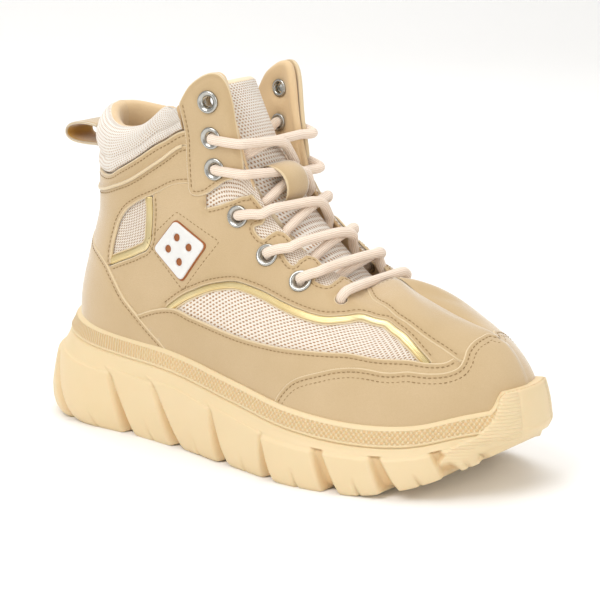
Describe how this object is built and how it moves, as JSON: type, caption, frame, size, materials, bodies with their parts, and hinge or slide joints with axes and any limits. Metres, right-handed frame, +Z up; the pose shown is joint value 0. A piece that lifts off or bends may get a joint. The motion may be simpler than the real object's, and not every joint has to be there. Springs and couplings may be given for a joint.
{
  "type": "lace-up ankle boot",
  "caption": "High-top lace-up ankle boot for the right foot, padded collar, leather overlays on mesh, chunky cup sole.",
  "frame": {"origin": "on the floor, under the middle of the boot's own box", "axes": "+X from heel to toe, +Z up, -Y the outer (lateral) side of the right foot"},
  "size_m": [0.2894, 0.1114, 0.1907],
  "materials": {
    "nubuck": "matte sanded grain",
    "mesh": "open knitted mesh",
    "lining": "brushed soft lining",
    "rubber": "satin moulded foam rubber",
    "lace": "ribbed woven cord",
    "gold": "metallic foil",
    "steel": "polished",
    "badge": "satin moulded"
  },
  "bodies": {
    "root": {"sole": "rubber", "insole": "lining", "upper": "mesh", "tongue": "mesh", "collar": "mesh", "toe_cap": "nubuck", "vamp_strip": "nubuck", "heel_counter": "nubuck", "ankle_band": "nubuck", "collar_trim": "nubuck", "mudguard_lateral": "nubuck", "quarter_lateral": "nubuck", "eyestay_flap_lateral": "nubuck", "piping_lateral": "gold", "window_trim_lateral": "gold", "eyelet_lateral_1": "steel", "eyelet_lateral_2": "steel", "eyelet_lateral_3": "steel", "eyelet_lateral_4": "steel", "eyelet_lateral_5": "steel", "eyelet_lateral_6": "steel", "mudguard_medial": "nubuck", "quarter_medial": "nubuck", "eyestay_flap_medial": "nubuck", "piping_medial": "gold", "window_trim_medial": "gold", "eyelet_medial_1": "steel", "eyelet_medial_2": "steel", "eyelet_medial_3": "steel", "eyelet_medial_4": "steel", "eyelet_medial_5": "steel", "eyelet_medial_6": "steel", "badge": "badge", "pull_loop": "nubuck", "lace_keeper": "nubuck", "lace_cross_1": "lace", "lace_cross_2": "lace", "lace_cross_3": "lace", "lace_cross_4": "lace", "lace_cross_5": "lace", "lace_bar": "lace"}
  },
  "joints": []
}
